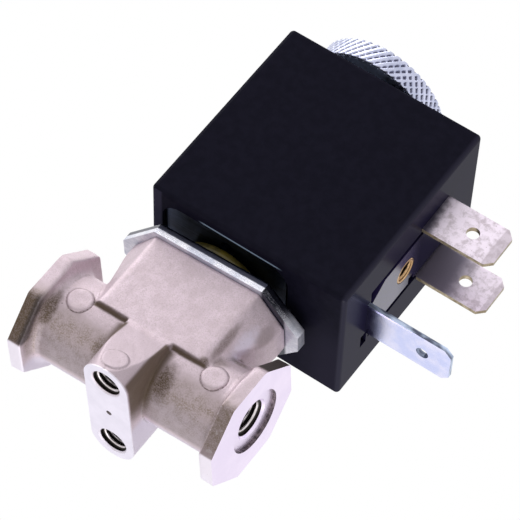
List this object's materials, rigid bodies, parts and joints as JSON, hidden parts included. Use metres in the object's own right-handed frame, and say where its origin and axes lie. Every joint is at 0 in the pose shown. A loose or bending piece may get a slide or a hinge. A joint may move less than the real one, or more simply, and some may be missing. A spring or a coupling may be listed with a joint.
{
  "type": "solenoid valve",
  "caption": "Small in-line air valve: forged body with facing threaded ports and a tapped mounting pad, black plug-in coil with flat blades, round knurled nut on top.",
  "frame": {"origin": "centre of the mounting pad's face, midway between its two tapped holes", "axes": "+Z along the coil axis, away from the pad; +X along the two ports, towards the connector blades"},
  "size_m": [0.046, 0.0238, 0.0606],
  "materials": {
    "body_metal": "nickel-plated, matte forged skin with bright machined faces",
    "seat_brass": "turned",
    "seal_rubber": "matte",
    "olive_rubber": "satin",
    "tube_steel": "drawn stainless",
    "core_steel": "turned",
    "spring_steel": "bright wire",
    "copper": "enamelled",
    "plate_zinc": "bright zinc",
    "screw_zinc": "bright zinc",
    "washer_zinc": "bright zinc",
    "nut_zinc": "bright zinc with a diamond knurl",
    "coil_plastic": "moulded, satin",
    "bobbin_plastic": "moulded",
    "yoke_steel": "plated sheet steel",
    "blade_tin": "stained tin plate",
    "ground_zinc": "bright zinc",
    "insert_brass": "turned"
  },
  "bodies": {
    "valve": {"valve_body": "body_metal", "valve_seat": "seat_brass", "tube_o_ring": "seal_rubber", "armature_tube": "tube_steel", "fixed_core": "core_steel", "shading_ring": "copper", "retaining_plate": "plate_zinc", "plate_screw_left": "screw_zinc", "plate_screw_right": "screw_zinc", "coil_base_seal": "olive_rubber"},
    "armature": {"plunger": "core_steel", "plunger_seal": "seal_rubber", "return_spring": "spring_steel"},
    "coil": {"coil_housing": "coil_plastic", "yoke_frame": "yoke_steel", "coil_bobbin": "bobbin_plastic", "coil_winding": "copper", "power_blade_front": "blade_tin", "power_blade_rear": "blade_tin", "ground_blade": "ground_zinc", "screw_insert": "insert_brass"},
    "washer": {"nut_washer": "washer_zinc"},
    "nut": {"knurled_nut": "nut_zinc"}
  },
  "joints": [
    {"name": "plunger_lift", "type": "slide", "parent": "valve", "child": "armature", "axis": [0, 0, 1], "range_m": [0, 0.0012], "stiffness_N_per_m": 200, "springref_m": -0.004, "deforming": ["return_spring"]},
    {"name": "coil_turn", "type": "hinge", "parent": "valve", "child": "coil", "pos_m": [0, 0, 0.0397], "axis": [0, 0, 1], "continuous": true},
    {"name": "nut_lift", "type": "slide", "parent": "valve", "child": "washer", "axis": [0, 0, 1], "range_m": [0, 0.002]},
    {"name": "nut_turn", "type": "hinge", "parent": "washer", "child": "nut", "pos_m": [0, 0, 0.059], "axis": [0, 0, 1], "range_deg": [0, 721]}
  ],
  "couplings": [
    {"joint": "nut_turn", "follows": "nut_lift", "rad_per_m": 6283.2}
  ]
}
